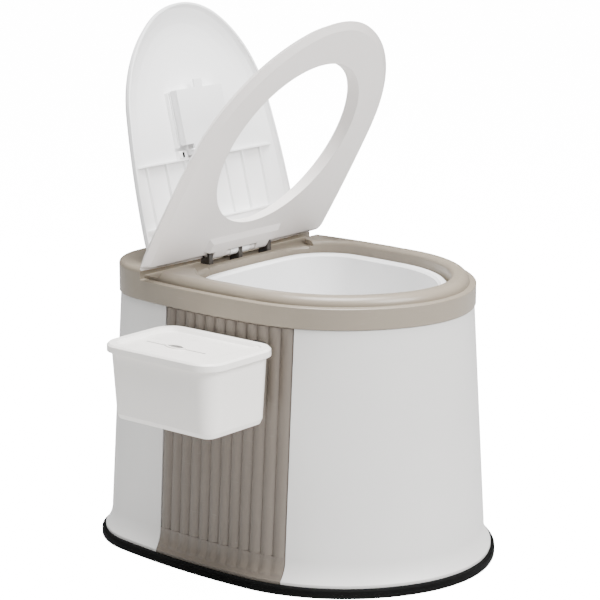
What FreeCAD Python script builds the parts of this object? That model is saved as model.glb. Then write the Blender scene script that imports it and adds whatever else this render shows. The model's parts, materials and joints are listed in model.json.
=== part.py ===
import FreeCAD
import Part
import math
import os

# Camping toilet: a panelled stand with a lift-out bucket, a seat and a lid on one hinge pin,
# and a paper box hung on one side. Millimetres, +Z up, floor at z = 0, sitter faces -Y.
# The origin is on the floor in the middle of the stand.

V = FreeCAD.Vector
X_AXIS = V(1, 0, 0)
Z_AXIS = V(0, 0, 1)
REACH = 600.0
ARC_SHARE = 1 - math.sqrt(0.5)

# Plan outline of the rim band, made of tangent arcs
rim_half_width = 143.0
rim_half_length = 187.0
widest_y = 18.0
nose_tuck = 26.0
shoulder_swell = 13.0
side_radius = 800.0
rear_corner_radius = 69.0
rear_radius = 900.0

# Clearances
rest_gap = 0.3
seam_gap = 0.6
pin_gap = 0.05
screw_gap = 0.1
turn_gap = 0.5
knuckle_gap = 9.0
hook_play = 2.0
cut_past = 1.0

# Heights of the stand
plate_thickness = 4.0
hem_height = 10.0
hem_lip = 3.0
flute_bottom = 36.0
ledge_height = 292.0
band_height = 22.0
panel_drop = 10.0
crown_rise = 9.5
deck_rise = 12.0
trough_rise = 3.5

# Stand panels
panel_wall = 3.0
panel_flange = 13.0
hem_flare = 19.5
hem_hollow = 0.36
wall_foot = 12.0
band_proud = 1.5
seam_from_front = 99.0
seam_from_rear = 112.5
reed_count = 12
reed_rise = 1.3
groove_depth = 1.2
tongue_reach = 12.0
tongue_wall = 2.2

# Rubber foot trim and base plate
trim_proud = 4.5
trim_round = 2.5
plate_inset = 3.4
rib_wall = 2.5
rib_height = 5.0
rib_pitch = 70.0

# Rim ring
skirt_wall = 2.0
skirt_chamfer = 0.9
deck_shell = 3.0
ledge_width = 7.0
crown_slope = 9.0
crown_width = 34.0
opening_inset = 26.0
opening_setback = 100.0
opening_corner = 60.0
opening_wall = 3.0
bucket_shelf = 9.0
shelf_drop = 11.0
shelf_thickness = 4.0
crown_round = 5.0
lip_round = 3.0
lobe_inset = 49.0
lobe_setback = 95.0
lobe_round = 14.0
deck_length = 73.5
deck_round = 5.0

# Screws
screw_diameter = 3.6
screw_head = 7.0
screw_head_height = 2.2
boss_diameter = 9.0
rim_screw_length = 8.0
base_screw_length = 14.0
screw_turns = (-90, -45, -5, 5, 50, 90, 130, 175, 185, 225)

# Hinge
axis_setback = 85.0
axis_rise = 13.0
pin_diameter = 6.0
pin_chamfer = 0.6
barrel_radius = 6.0
hinge_half = 50.0
lug_wall = 6.0
lid_knuckle_end = 15.0
hinge_pocket_depth = 10.0
hinge_block_half = 62.0
bracket_base = 4.0
bracket_half_depth = 6.5
hinge_screw_x = 33.0
hinge_screw_length = 9.0

# Seat
seat_angle = 59.0
seat_overhang = 4.0
seat_clearance = 1.5
seat_thickness = 13.0
seat_edge_height = 5.0
seat_under_bevel = 8.0
seat_top_bevel = 9.0
seat_heel = 8.0
seat_widest_y = 50.0
seat_nose_tuck = 39.0
seat_shoulder_swell = 23.0
seat_side_radius = 1400.0
seat_corner = 6.0
seat_rear_radius = 3000.0
hole_half_width = 96.0
hole_half_length = 102.5
hole_from_front = 152.0
hole_taper = 5.0
hole_shift = 6.0
hole_bevel = 2.0
boss_drop = 4.0
boss_half = 52.0
boss_slope = 7.0
boss_length = 12.0

# Lid
lid_angle = 104.0
lid_inset = 25.0
lid_setback = 20.0
lid_widest_y = 72.0
lid_nose_tuck = 27.0
lid_shoulder_swell = 21.0
lid_side_radius = 920.0
lid_corner = 16.0
lid_gap = 0.5
lid_height = 14.0
lid_lip = 4.0
lid_dome = 30.0
lid_dome_steps = 5
lid_wall = 2.6
lid_heel = 3.2
lid_rib_wall = 2.2
lid_rib_height = 4.5
lid_rib_upper = 103.0
lid_rib_lower = 36.0
lid_rib_inner = 60.0
lid_rib_outer = 90.0

# Deodoriser holder inside the lid
holder_width = 71.0
holder_near = 118.0
holder_length = 59.0
holder_depth = 11.0
holder_wall = 2.0
holder_lug_wall = 3.0
holder_lug_x = 24.0
holder_hinge = 110.0
holder_hinge_radius = 3.5
holder_peg = 3.0
cover_thickness = 2.0
cover_rim = 1.5
tab_width = 12.0
tab_reach = 9.0
vent_length = 7.0
vent_height = 2.4
vent_x = 22.0

# Bucket
bucket_gap = 3.0
bucket_rim_width = 10.0
bucket_rim_height = 7.7
bucket_rim_round = 2.3
bucket_wall = 2.5
bucket_floor = 45.0
bucket_draft = 15.0

# Paper box and its cover
box_centre_y = -14.5
box_length = 149.5
box_depth = 104.0
box_clear = 7.5
box_drop = 13.5
box_rim_height = 8.0
box_body_height = 70.5
box_corner = 23.5
box_overhang = 4.5
box_wall = 2.2
box_draft = 4.3
box_foot_round = 7.0
cover_round = 2.0
cover_border = 9.0
cover_recess = 3.0
cover_plate = 2.4
cover_skirt = 6.0
cover_step = 23.0
cover_step_rise = 1.6
slit_outward = 8.5
slit_rearward = 9.5
slit_length = 80.0
slit_width = 1.6
slit_lens = 22.0
slit_lens_width = 8.0
hook_spacing = 72.0
hook_width = 14.0
hook_neck = 4.0
hook_tongue = 12.0
hook_wall = 2.5
hook_drop = 17.0
standoff_width = 8.0
standoff_height = 10.0

# Values that follow from the sizes above
nose_radius = rim_half_width - nose_tuck
shoulder_radius = rim_half_width + shoulder_swell
seam_front = seam_from_front - rim_half_length
seam_rear = rim_half_length - seam_from_rear
opening_rear = rim_half_length - opening_setback
lobe_inner = rim_half_width - lobe_inset
lobe_end = rim_half_length - lobe_setback
deck_front = rim_half_length - deck_length
axis_y = rim_half_length - axis_setback
band_bottom = ledge_height - band_height
panel_top = ledge_height - panel_drop
crown_top = ledge_height + crown_rise
deck_top = ledge_height + deck_rise
trough_floor = ledge_height + trough_rise
shelf_height = ledge_height - shelf_drop
bucket_rim_top = shelf_height + rest_gap + bucket_rim_height
shoulder_height = band_bottom - rest_gap
neck_offset = -skirt_wall - rest_gap
axis_z = ledge_height + axis_rise
hinge_pocket = trough_floor - hinge_pocket_depth
lug_inner = hinge_half - lug_wall
seat_underside = crown_top + seat_clearance
seat_top = seat_underside + seat_thickness
seat_cut = axis_y - barrel_radius - 2 * turn_gap
seat_half_width = rim_half_width + seat_overhang
seat_front = -rim_half_length - seat_overhang
hole_centre = seat_front + hole_from_front
lid_half_width = rim_half_width - lid_inset
lid_front = lid_setback - rim_half_length
lid_bottom = seat_top + lid_gap
lid_top = lid_bottom + lid_height
lid_ceiling = lid_top - lid_wall
box_back = rim_half_width + box_clear
box_top = band_bottom - box_drop
box_mouth = box_top - box_rim_height / 2
box_low = box_top - box_rim_height - box_body_height


def meet(centre_a, reach_a, centre_b, reach_b):
    """Return the rearmost point that lies at two given distances from two centres."""
    line = centre_b - centre_a
    span = line.Length
    along = (reach_a ** 2 - reach_b ** 2 + span ** 2) / (2 * span)
    across = math.sqrt(reach_a ** 2 - along ** 2)
    unit = line * (1 / span)
    foot = centre_a + unit * along
    side = V(-unit.y, unit.x, 0) * across
    return max((foot + side, foot - side), key=lambda point: point.y)


def heading(vector):
    """Return the direction of a plan vector in degrees, from 0 to 360."""
    return math.degrees(math.atan2(vector.y, vector.x)) % 360


class Outline:
    """Closed plan curve of eight tangent arcs, the same on both sides of the YZ plane."""

    def __init__(self, half_width, front, rear, nose, shoulder, side, corner, back, widest):
        self.sizes = (half_width, front, rear, nose, shoulder, side, corner, back, widest)
        nose_centre = V(0, front + nose, 0)
        side_centre = V(half_width - side, widest, 0)
        back_centre = V(0, rear - back, 0)
        shoulder_centre = meet(side_centre, side - shoulder, nose_centre, shoulder - nose)
        corner_centre = meet(side_centre, side - corner, back_centre, back - corner)
        nose_turn = heading(nose_centre - shoulder_centre) - 360
        shoulder_turn = heading(shoulder_centre - side_centre) - 360
        side_turn = (heading(corner_centre - side_centre) + 180) % 360 - 180
        corner_turn = heading(corner_centre - back_centre)
        right = [
            (shoulder_centre, shoulder, nose_turn, shoulder_turn),
            (side_centre, side, shoulder_turn, side_turn),
            (corner_centre, corner, side_turn, corner_turn),
        ]
        left = [(V(-c.x, c.y, 0), r, 180 - b, 180 - a) for c, r, a, b in reversed(right)]
        nose_arc = (nose_centre, nose, -180 - nose_turn, nose_turn)
        back_arc = (back_centre, back, corner_turn, 180 - corner_turn)
        self.arcs = [nose_arc] + right + [back_arc] + left

    def shrunk(self, inset):
        """Return the outline moved inward, with the radius of its rear corners kept."""
        half_width, front, rear, nose, shoulder, side, corner, back, widest = self.sizes
        return Outline(half_width - inset, front + inset, rear - inset, nose - inset,
                       shoulder - inset, side - inset, corner, back, widest)

    def point(self, arc, turn, offset, z):
        """Return the point of one arc whose outward normal has the given heading."""
        centre, radius = arc[0], arc[1]
        angle = math.radians(turn)
        reach = radius + offset
        return V(centre.x + reach * math.cos(angle), centre.y + reach * math.sin(angle), z)

    def piece(self, arc, start, end, offset, z):
        """Return a stretch of one arc as an edge."""
        turns = (start, (start + end) / 2, end)
        return Part.Arc(*[self.point(arc, turn, offset, z) for turn in turns]).toShape()

    def wire(self, offset, z):
        """Return the whole curve, moved outward by an offset, at one height."""
        return Part.Wire([self.piece(arc, arc[2], arc[3], offset, z) for arc in self.arcs])

    def prism(self, offset, low, high):
        """Return a straight-sided solid between two heights."""
        return Part.Face(self.wire(offset, low)).extrude(V(0, 0, high - low))

    def ring(self, profile):
        """Return the solid made by carrying a profile of offsets and heights all round."""
        solids = []
        for arc in self.arcs:
            centre, radius, start, end = arc
            face = Part.Face(profile_wire(profile, radius))
            face.rotate(V(0, 0, 0), Z_AXIS, start)
            face.translate(centre)
            solids.append(face.revolve(centre, Z_AXIS, end - start))
        return solids[0].multiFuse(solids[1:]).removeSplitter()

    def side_turns(self, front, rear, offset, count):
        """Return headings that part the -X side, between two Y values, into equal stretches."""
        arcs = [arc for arc in self.arcs if 90 < (arc[2] + arc[3]) / 2 < 270 and arc[0].x != 0]
        ends = [turn_at(arcs, y, offset) for y in (rear, front)]
        clipped = [(max(arc[2], ends[0]), min(arc[3], ends[1]), arc) for arc in arcs]
        spans = [(a, b, arc) for a, b, arc in clipped if b > a]
        total = sum((b - a) * arc[1] for a, b, arc in spans)
        turns = []
        for step in range(count + 1):
            left = total * step / count
            for a, b, arc in spans:
                run = (b - a) * arc[1]
                if left <= run + 1e-9:
                    turns.append((arc, a + left / arc[1]))
                    break
                left -= run
        return turns, spans


def turn_at(arcs, y, offset):
    """Return the heading at which the -X side crosses a Y value."""
    for arc in arcs:
        centre, radius, start, end = arc
        rise = (y - centre.y) / (radius + offset)
        if abs(rise) < 1:
            turn = 180 - math.degrees(math.asin(rise))
            if start - 1e-6 <= turn <= end + 1e-6:
                return turn
    raise ValueError("the side does not reach this Y value")


def profile_wire(profile, radius):
    """Return a closed wire of offsets and heights; a triple starts an arc through its middle."""
    edges = []
    count = len(profile)
    for index, item in enumerate(profile):
        following = profile[(index + 1) % count]
        start = V(radius + item[0], 0, item[1])
        end = V(radius + following[0], 0, following[1])
        if len(item) == 3:
            middle = V(radius + item[2][0], 0, item[2][1])
            edges.append(Part.Arc(start, middle, end).toShape())
        else:
            edges.append(Part.makeLine(start, end))
    return Part.Wire(edges)


def box(x0, x1, y0, y1, z0, z1):
    """Return a block between two corners."""
    return Part.makeBox(x1 - x0, y1 - y0, z1 - z0, V(x0, y0, z0))


def rod(x0, x1, y, z, radius):
    """Return a cylinder along X."""
    return Part.makeCylinder(radius, x1 - x0, V(x0, y, z), X_AXIS)


def post(x, y, z0, z1, radius):
    """Return a cylinder along Z."""
    return Part.makeCylinder(radius, z1 - z0, V(x, y, z0), Z_AXIS)


def polygon_prism(points, direction):
    """Return the solid of a closed polygon pushed along a direction."""
    wire = Part.makePolygon(points + points[:1])
    return Part.Face(wire).extrude(direction)


def mirrored(shape):
    """Return the shape on the other side of the YZ plane."""
    return shape.mirror(V(0, 0, 0), X_AXIS)


def both_sides(shape):
    """Return a shape and its mirror image as a list."""
    return [shape, mirrored(shape)]


def swing(shape, angle):
    """Return a shape opened about the hinge pin by an angle."""
    turned = shape.copy()
    turned.rotate(V(0, axis_y, axis_z), X_AXIS, -angle)
    return turned


def rounded_wire(x0, x1, y0, y1, radius, z):
    """Return a rectangle with round corners at one height."""
    k = radius * ARC_SHARE
    edges = [
        Part.makeLine(V(x0 + radius, y0, z), V(x1 - radius, y0, z)),
        Part.Arc(V(x1 - radius, y0, z), V(x1 - k, y0 + k, z), V(x1, y0 + radius, z)).toShape(),
        Part.makeLine(V(x1, y0 + radius, z), V(x1, y1 - radius, z)),
        Part.Arc(V(x1, y1 - radius, z), V(x1 - k, y1 - k, z), V(x1 - radius, y1, z)).toShape(),
        Part.makeLine(V(x1 - radius, y1, z), V(x0 + radius, y1, z)),
        Part.Arc(V(x0 + radius, y1, z), V(x0 + k, y1 - k, z), V(x0, y1 - radius, z)).toShape(),
        Part.makeLine(V(x0, y1 - radius, z), V(x0, y0 + radius, z)),
        Part.Arc(V(x0, y0 + radius, z), V(x0 + k, y0 + k, z), V(x0 + radius, y0, z)).toShape(),
    ]
    return Part.Wire(edges)


def loft(wires):
    """Return the solid through a stack of wires, with straight rulings."""
    return Part.makeLoft(wires, True, True)


rim_line = Outline(rim_half_width, -rim_half_length, rim_half_length, nose_radius,
                   shoulder_radius, side_radius, rear_corner_radius, rear_radius, widest_y)
opening_line = Outline(rim_half_width - opening_inset, opening_inset - rim_half_length,
                       opening_rear, nose_radius - opening_inset,
                       shoulder_radius - opening_inset, side_radius - opening_inset,
                       opening_corner, rear_radius, widest_y)
seat_line = Outline(seat_half_width, seat_front, axis_y + seat_heel, seat_half_width - seat_nose_tuck,
                    seat_half_width + seat_shoulder_swell, seat_side_radius, seat_corner,
                    seat_rear_radius, seat_widest_y)
lid_line = Outline(lid_half_width, lid_front, axis_y - lid_heel, lid_half_width - lid_nose_tuck,
                   lid_half_width + lid_shoulder_swell, lid_side_radius, lid_corner,
                   seat_rear_radius, lid_widest_y)


def wall_offset(z):
    """Return how far the sloping outer wall stands out from the rim outline at a height."""
    share = (band_bottom - z) / (band_bottom - flute_bottom)
    return -band_proud + share * (wall_foot + band_proud)


def hem_curve(inset):
    """Return the start, the middle and the end of the flare, moved inward by an inset."""
    lip = hem_height + hem_lip
    middle = wall_foot + (hem_flare - wall_foot) * hem_hollow
    middle_height = flute_bottom + (lip - flute_bottom) * (1 - hem_hollow)
    return (wall_foot - inset, flute_bottom), (middle - inset, middle_height), (hem_flare - inset, lip)


def wall_ring():
    """Return the whole wall of the stand, with its flared hem, neck and two inner flanges."""
    start, middle, end = hem_curve(0)
    inner_start, inner_middle, inner_end = hem_curve(panel_wall)
    flange_foot = inner_end[0] - panel_flange
    shoulder = wall_offset(shoulder_height)
    return rim_line.ring([
        (neck_offset, panel_top),
        (neck_offset, shoulder_height),
        (shoulder, shoulder_height),
        (start[0], start[1], middle),
        end,
        (hem_flare, hem_height),
        (flange_foot, hem_height),
        (flange_foot, hem_height + panel_wall),
        (inner_end[0], inner_end[1], inner_middle),
        inner_start,
        (shoulder - panel_wall, shoulder_height),
        (neck_offset - panel_wall, panel_top - panel_wall),
        (neck_offset - panel_flange, panel_top - panel_wall),
        (neck_offset - panel_flange, panel_top),
    ])


def tongue_rings():
    """Return the strip behind a seam, and the foot that joins the strip to its own panel."""
    low = flute_bottom + panel_wall
    high = shoulder_height - panel_wall

    def band(near, far):
        return rim_line.ring([
            (wall_offset(low) - near, low), (wall_offset(low) - far, low),
            (wall_offset(high) - far, high), (wall_offset(high) - near, high),
        ])

    back = panel_wall + rest_gap + tongue_wall
    return band(panel_wall + rest_gap, back), band(panel_wall / 2, back)


def end_panel(ring, tongues, front):
    """Return the front or the rear panel with its seam tongues."""
    strip, foot = tongues
    seam = seam_front if front else seam_rear
    way = -1 if front else 1
    edge = seam + way * seam_gap / 2

    def span(near, far):
        low, high = sorted((edge + way * near, edge + way * far))
        return box(-REACH, REACH, low, high, 0, REACH)

    panel = ring.common(span(0, REACH))
    strip_piece = strip.common(span(-tongue_reach, tongue_reach))
    foot_piece = foot.common(span(0, tongue_reach))
    return panel.multiFuse([strip_piece, foot_piece])


def reeded_wall():
    """Return the fluted wall of the -X side, lofted between a lower and an upper outline."""
    front = seam_front + seam_gap / 2
    rear = seam_rear - seam_gap / 2

    def section(z):
        base = wall_offset(z)
        turns, spans = rim_line.side_turns(front, rear, base, 2 * reed_count)
        edges = []
        for index in range(0, 2 * reed_count, 2):
            points = []
            for step in range(3):
                arc, turn = turns[index + step]
                lift = reed_rise if step == 1 else -groove_depth
                points.append(rim_line.point(arc, turn, base + lift, z))
            edges.append(Part.Arc(*points).toShape())
        inside = []
        for start, end, arc in reversed(spans):
            inside.append(rim_line.piece(arc, end, start, base - panel_wall, z))
        first = edges[0].Vertexes[0].Point
        last = edges[-1].Vertexes[-1].Point
        joins = [Part.makeLine(last, inside[0].Vertexes[0].Point)]
        joins.append(Part.makeLine(inside[-1].Vertexes[-1].Point, first))
        return Part.Wire(Part.__sortEdges__(edges + inside + joins))

    return loft([section(flute_bottom), section(shoulder_height)])


def side_panel(ring):
    """Return the fluted panel of the -X side with its plain hem and flanges."""
    front = seam_front + seam_gap / 2
    rear = seam_rear - seam_gap / 2
    hem = ring.common(box(-REACH, 0, front, rear, 0, flute_bottom))
    neck = ring.common(box(-REACH, 0, front, rear, shoulder_height, REACH))
    return reeded_wall().multiFuse([hem, neck])


def hook_slots():
    """Return the two openings in the side panel that take the paper box hooks."""
    sill = box_top - hook_drop - hook_neck
    head = sill + hook_neck + hook_tongue + hook_play
    half = hook_width / 2 + turn_gap * 2
    slots = []
    for y in hook_places():
        slots.append(box(-REACH, -rim_half_width / 2, y - half, y + half, sill, head))
    return slots


def hook_places():
    """Return the Y values of the two hooks."""
    return [box_centre_y - hook_spacing / 2, box_centre_y + hook_spacing / 2]


def screw_places(offset):
    """Return the plan points of a ring of screws at an offset from the rim outline."""
    places = []
    for turn in screw_turns:
        for arc in rim_line.arcs:
            for lap in (turn - 360, turn, turn + 360):
                if arc[2] <= lap < arc[3]:
                    places.append(rim_line.point(arc, lap, offset, 0))
    return places


def rim_screw_places():
    """Return where the rim is screwed to the panel flanges."""
    return screw_places(neck_offset - panel_wall - boss_diameter / 2)


def base_screw_places():
    """Return where the base plate is screwed to the panel flanges."""
    return screw_places(hem_flare - panel_wall - panel_flange + boss_diameter / 2)


def screws(places, seat_z, length, upward):
    """Return pan-head screws that start at a seat height."""
    way = 1 if upward else -1
    group = []
    for place in places:
        head_low = seat_z - screw_head_height if upward else seat_z
        head = post(place.x, place.y, head_low, head_low + screw_head_height, screw_head / 2)
        tip = seat_z + way * length
        shank = post(place.x, place.y, min(seat_z, tip), max(seat_z, tip), screw_diameter / 2)
        group.append(head.fuse(shank))
    return group


def drilled(shape, places, low, high, radius):
    """Return a shape with round holes along Z."""
    return shape.cut([post(p.x, p.y, low, high, radius) for p in places])


def stand_panels():
    """Return the four wall panels by name."""
    ring = wall_ring()
    tongues = tongue_rings()
    side = side_panel(ring)
    panels = {
        "front_panel": end_panel(ring, tongues, True),
        "rear_panel": end_panel(ring, tongues, False),
        "side_panel_left": mirrored(side),
        "side_panel_right": side.cut(hook_slots()),
    }
    hole = screw_diameter / 2 + screw_gap
    for name in panels:
        upper = drilled(panels[name], rim_screw_places(), panel_top - 2 * panel_wall, REACH, hole)
        panels[name] = drilled(upper, base_screw_places(), 0, hem_height + 2 * panel_wall, hole)
    return panels


def foot_trim():
    """Return the black rubber trim that the hem and the base plate stand in."""
    outer = hem_flare + trim_proud
    inner = hem_flare - panel_wall - plate_inset + rest_gap
    bend = trim_round * ARC_SHARE
    return rim_line.ring([
        (inner, 0),
        (outer - trim_round, 0, (outer - bend, bend)),
        (outer, trim_round),
        (outer, hem_height - trim_round, (outer - bend, hem_height - bend)),
        (outer - trim_round, hem_height),
        (inner, hem_height),
    ])


def base_plate():
    """Return the bottom plate with its rim ribs, screw bosses and stiffening grid."""
    edge = hem_flare - panel_wall - plate_inset
    plate = rim_line.prism(edge, 0, plate_thickness)
    rim_rib = rim_line.ring([
        (edge - rib_wall, 0), (edge, 0), (edge, hem_height), (edge - rib_wall, hem_height),
    ])
    solids = [rim_rib]
    for place in base_screw_places():
        solids.append(post(place.x, place.y, 0, hem_height, boss_diameter / 2))
    inside = rim_line.prism(edge - rib_wall / 2, 0, plate_thickness + rib_height)
    lines = int(rim_half_length / rib_pitch)
    for step in range(-lines, lines + 1):
        y = step * rib_pitch
        solids.append(box(-REACH, REACH, y, y + rib_wall, 0, REACH).common(inside))
        solids.append(box(y, y + rib_wall, -REACH, REACH, 0, REACH).common(inside))
    plate = plate.multiFuse(solids)
    hole = screw_diameter / 2 + screw_gap
    sunk = screw_head / 2 + 2 * screw_gap
    plate = drilled(plate, base_screw_places(), -cut_past, hem_height + cut_past, hole)
    return drilled(plate, base_screw_places(), -cut_past, screw_head_height + rest_gap, sunk)


def round_over(line, edge, top, radius, inward):
    """Return the cutter that rounds a top edge that runs along an outline."""
    way = 1 if inward else -1
    bend = radius * ARC_SHARE
    return line.ring([
        (edge - way * cut_past, top - radius),
        (edge, top - radius, (edge + way * bend, top - bend)),
        (edge + way * radius, top),
        (edge + way * radius, top + cut_past),
        (edge - way * cut_past, top + cut_past),
    ])


def crown_ring():
    """Return the raised crown that the seat lies on, parted at the rear into two lobes."""
    start = -ledge_width
    end = start - crown_slope
    inner = end - crown_width
    root = ledge_height - deck_shell / 2
    slope_middle = (start - crown_slope * ARC_SHARE, crown_top - crown_rise * ARC_SHARE)
    crown = rim_line.ring([
        (start, root), (start, ledge_height, slope_middle), (end, crown_top),
        (inner, crown_top), (inner, root),
    ])
    crown = crown.cut(trough_cutter())
    crown = crown.cut(opening_line.prism(0, root - cut_past, REACH))
    return crown.cut(round_over(opening_line, 0, crown_top, crown_round, True))


def trough_slab():
    """Return the floor between the lobes, with a round lip at the bucket opening."""
    root = ledge_height - deck_shell / 2
    slab = rim_line.prism(-ledge_width - crown_slope, root, trough_floor)
    slab = slab.common(box(-REACH, REACH, opening_rear - opening_corner, deck_front + cut_past, 0, REACH))
    slab = slab.cut(opening_line.prism(0, root - cut_past, REACH))
    return slab.cut(round_over(opening_line, 0, trough_floor, lip_round, True))


def trough_cutter():
    """Return the space between the two lobes and in front of the rear deck."""
    far = REACH
    inside = lobe_inner
    swell = lobe_round * ARC_SHARE
    z = trough_floor
    edges = [
        Part.makeLine(V(-far, far, z), V(far, far, z)),
        Part.makeLine(V(far, far, z), V(far, lobe_end, z)),
        Part.makeLine(V(far, lobe_end, z), V(inside + lobe_round, lobe_end, z)),
        Part.Arc(V(inside + lobe_round, lobe_end, z), V(inside + swell, lobe_end - swell, z),
                 V(inside, lobe_end - lobe_round, z)).toShape(),
        Part.makeLine(V(inside, lobe_end - lobe_round, z), V(inside, 0, z)),
        Part.makeLine(V(inside, 0, z), V(-inside, 0, z)),
        Part.makeLine(V(-inside, 0, z), V(-inside, lobe_end - lobe_round, z)),
        Part.Arc(V(-inside, lobe_end - lobe_round, z), V(-inside - swell, lobe_end - swell, z),
                 V(-inside - lobe_round, lobe_end, z)).toShape(),
        Part.makeLine(V(-inside - lobe_round, lobe_end, z), V(-far, lobe_end, z)),
        Part.makeLine(V(-far, lobe_end, z), V(-far, far, z)),
    ]
    return Part.Face(Part.Wire(edges)).extrude(V(0, 0, far))


def rear_deck():
    """Return the raised deck behind the hinge, hollow below and with round edges."""
    root = ledge_height - deck_shell
    block = rim_line.prism(0, root, deck_top)
    block = block.cut(round_over(rim_line, 0, deck_top, deck_round, False))
    block = block.common(box(-REACH, REACH, deck_front, REACH, 0, REACH))
    under = rim_line.prism(-deck_shell, 0, deck_top - deck_shell)
    hollow = under.common(box(-REACH, REACH, deck_front + deck_shell, REACH, 0, REACH))
    block = block.cut(hollow)
    centre_y = deck_front + deck_round
    centre_z = deck_top - deck_round
    corner = box(-REACH, REACH, deck_front - cut_past, centre_y, centre_z, deck_top + cut_past)
    return block.cut(corner.cut(rod(-REACH, REACH, centre_y, centre_z, deck_round)))


def rim_ring():
    """Return the rim: band, ledge, crown, rear deck, hinge pocket and bucket shelf."""
    band = rim_line.ring([
        (-skirt_wall, band_bottom), (-skirt_chamfer, band_bottom),
        (0, band_bottom + skirt_chamfer), (0, ledge_height - skirt_chamfer),
        (-skirt_chamfer, ledge_height), (-skirt_wall, ledge_height),
    ])
    ledge = rim_line.prism(-skirt_chamfer, ledge_height - deck_shell, ledge_height)
    wall = opening_line.prism(opening_wall, shelf_height - shelf_thickness, ledge_height)
    block = box(-hinge_block_half, hinge_block_half, opening_rear - opening_wall, deck_front,
                hinge_pocket - deck_shell, trough_floor)
    solids = [ledge, wall, block]
    for place in rim_screw_places():
        solids.append(post(place.x, place.y, panel_top, ledge_height - cut_past, boss_diameter / 2))
    body = band.multiFuse(solids)
    body = body.cut(opening_line.prism(-bucket_shelf, 0, REACH))
    body = body.cut(opening_line.prism(0, shelf_height, REACH))
    body = body.multiFuse([crown_ring(), trough_slab(), rear_deck()])
    pocket = box(-hinge_half - turn_gap, hinge_half + turn_gap,
                 axis_y - bracket_half_depth - turn_gap, axis_y + bracket_half_depth + turn_gap,
                 hinge_pocket, REACH)
    body = body.cut(pocket)
    hole = screw_diameter / 2 + screw_gap
    body = drilled(body, rim_screw_places(), 0, panel_top + rim_screw_length, hole)
    return drilled(body, hinge_screw_places(), 0, REACH, hole)


def hinge_screw_places():
    """Return where the hinge bracket is screwed down."""
    return [V(-hinge_screw_x, axis_y, 0), V(hinge_screw_x, axis_y, 0)]


def hinge_bracket():
    """Return the bracket: a base in the rim pocket and three lugs that carry the pin."""
    base_top = hinge_pocket + bracket_base
    base = box(-hinge_half, hinge_half, axis_y - bracket_half_depth, axis_y + bracket_half_depth,
               hinge_pocket, base_top)
    lugs = []
    for x0 in (-hinge_half, -lug_wall / 2, lug_inner):
        x1 = x0 + lug_wall
        flank = [
            V(x0, axis_y - bracket_half_depth, base_top - cut_past),
            V(x0, axis_y + bracket_half_depth, base_top - cut_past),
            V(x0, axis_y + barrel_radius, axis_z), V(x0, axis_y - barrel_radius, axis_z),
        ]
        lugs.append(polygon_prism(flank, V(lug_wall, 0, 0)))
        lugs.append(rod(x0, x1, axis_y, axis_z, barrel_radius))
    bracket = base.multiFuse(lugs)
    bracket = bracket.cut(rod(-REACH, REACH, axis_y, axis_z, pin_diameter / 2 + pin_gap))
    return drilled(bracket, hinge_screw_places(), 0, base_top + cut_past, screw_diameter / 2 + screw_gap)


def hinge_pin():
    """Return the steel pin that the seat and the lid turn on."""
    pin = rod(-hinge_half, hinge_half, axis_y, axis_z, pin_diameter / 2)
    ends = [edge for edge in pin.Edges if edge.Curve.TypeId == "Part::GeomCircle"]
    return pin.makeChamfer(pin_chamfer, ends)


def seat():
    """Return the seat ring, bevelled above and below, with its hinge boss and two knuckles."""
    edge = seat_underside + seat_edge_height
    ring = loft([
        seat_line.shrunk(seat_under_bevel).wire(0, seat_underside), seat_line.wire(0, edge),
        seat_line.shrunk(seat_top_bevel).wire(0, seat_top),
    ])
    ring = ring.fuse(seat_boss())
    ring = ring.cut(seat_hole())
    cut = lug_inner + lug_wall + 2 * turn_gap
    ring = ring.cut(box(-cut, cut, seat_cut, REACH, 0, REACH))
    inner = lid_knuckle_end + knuckle_gap
    outer = lug_inner - rest_gap
    barrel = rod(inner, outer, axis_y, axis_z, barrel_radius)
    slope = polygon_prism([
        V(inner, seat_cut - barrel_radius, seat_underside - boss_drop),
        V(inner, axis_y, axis_z - barrel_radius), V(inner, axis_y, axis_z + barrel_radius),
        V(inner, seat_cut - barrel_radius, seat_top - turn_gap),
    ], V(outer - inner, 0, 0))
    knuckle = barrel.fuse(slope)
    ring = ring.multiFuse(both_sides(knuckle))
    return ring.cut(rod(-REACH, REACH, axis_y, axis_z, pin_diameter / 2 + pin_gap))


def seat_boss():
    """Return the raised pad under the seat in front of the hinge."""
    low = seat_underside - boss_drop
    back = seat_cut
    front = back - boss_length
    wide = boss_half + boss_slope

    def section(half, near, z):
        return Part.makePolygon([V(-half, near, z), V(half, near, z), V(half, back, z),
                                 V(-half, back, z), V(-half, near, z)])

    return loft([section(boss_half, front, low), section(wide, front - boss_slope, seat_underside + cut_past)])


def seat_hole():
    """Return the opening of the seat, narrower at the top, with a small bevel there."""

    def section(z, extra):
        climb = (z - seat_underside) / seat_thickness
        half_x = hole_half_width - climb * hole_taper + extra
        half_y = hole_half_length + extra
        centre = V(0, hole_centre + climb * hole_shift, z)
        end = V(0, centre.y + half_y, z)
        return Part.Wire(Part.Ellipse(end, V(half_x, centre.y, z), centre).toShape())

    low = seat_underside - boss_drop - cut_past
    neck = seat_top - hole_bevel
    lower = loft([section(low, 0), section(neck, 0)])
    return lower.fuse(loft([section(neck, 0), section(seat_top + cut_past, hole_bevel + cut_past)]))


def dome_levels():
    """Return the inset and the rise of the lid's domed edge, step by step."""
    levels = []
    for step in range(lid_dome_steps):
        turn = math.pi / 2 * step / (lid_dome_steps - 1)
        rise = lid_lip + (lid_height - lid_lip) * math.sin(turn)
        levels.append((lid_dome * (1 - math.cos(turn)), rise))
    return levels


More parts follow.
